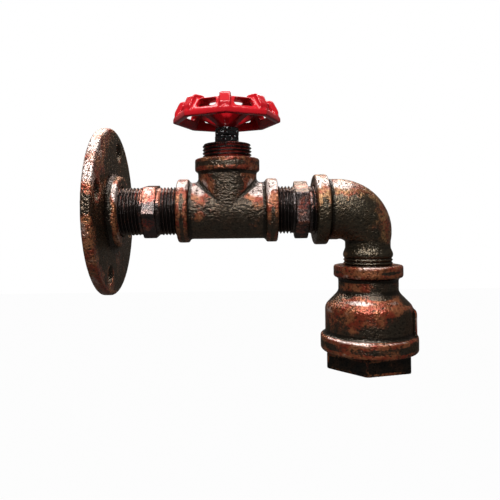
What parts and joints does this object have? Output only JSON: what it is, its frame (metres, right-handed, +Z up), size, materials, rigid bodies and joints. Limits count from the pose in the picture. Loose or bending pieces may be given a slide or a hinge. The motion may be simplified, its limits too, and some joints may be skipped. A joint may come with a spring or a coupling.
{
  "type": "industrial pipe wall light",
  "caption": "Wall light built from threaded pipe fittings: round flange, short arm with tee and handwheel switch, elbow down to a bell reducer with a screw lampholder.",
  "frame": {"origin": "centre of the wall flange's back face, on the arm's axis", "axes": "+X along the arm away from the wall, +Z up, lamp mouth opens along -Z"},
  "size_m": [0.1678, 0.0896, 0.1436],
  "materials": {
    "antique_iron": "rough cast, near-black brown with copper-red rubbed highlights",
    "black_enamel": "gloss black",
    "red_enamel": "gloss red enamel",
    "zinc_steel": "bright zinc plate",
    "plain_brass": "plain pressed and turned brass",
    "porcelain": "white glaze",
    "phenolic": "moulded, satin",
    "fibre": "vulcanised fibre",
    "brown_sleeve": "silicone sleeve",
    "black_sleeve": "silicone sleeve",
    "blue_sleeve": "silicone sleeve",
    "green_yellow_sleeve": "silicone sleeve"
  },
  "bodies": {
    "fixture": {"wall_flange": "antique_iron", "wall_nipple": "antique_iron", "pipe_tee": "antique_iron", "arm_nipple": "antique_iron", "street_elbow": "antique_iron", "bell_reducer": "antique_iron", "hex_bushing": "antique_iron", "branch_plug": "antique_iron", "switch_body": "phenolic", "switch_bush": "plain_brass", "switch_terminals": "plain_brass", "earth_tag": "plain_brass", "bush_nut": "black_enamel", "lock_nut": "black_enamel", "holder_body": "porcelain", "screw_shell": "plain_brass", "holder_terminals": "plain_brass", "seat_ring": "fibre", "live_supply_lead": "brown_sleeve", "live_switched_lead": "black_sleeve", "neutral_lead": "blue_sleeve", "earth_lead": "green_yellow_sleeve"},
    "wheel": {"handwheel": "red_enamel", "wheel_washer": "zinc_steel", "wheel_screw": "zinc_steel", "switch_spindle": "zinc_steel"},
    "contact": {"centre_contact": "plain_brass"}
  },
  "joints": [
    {"name": "wheel_turn", "type": "hinge", "parent": "fixture", "child": "wheel", "pos_m": [0.0662, 0, 0.05], "axis": [0, 0, 1], "range_deg": [-300, 0]},
    {"name": "contact_press", "type": "slide", "parent": "fixture", "child": "contact", "axis": [0, 0, 1], "range_m": [0, 0.0012], "stiffness_N_per_m": 300}
  ]
}
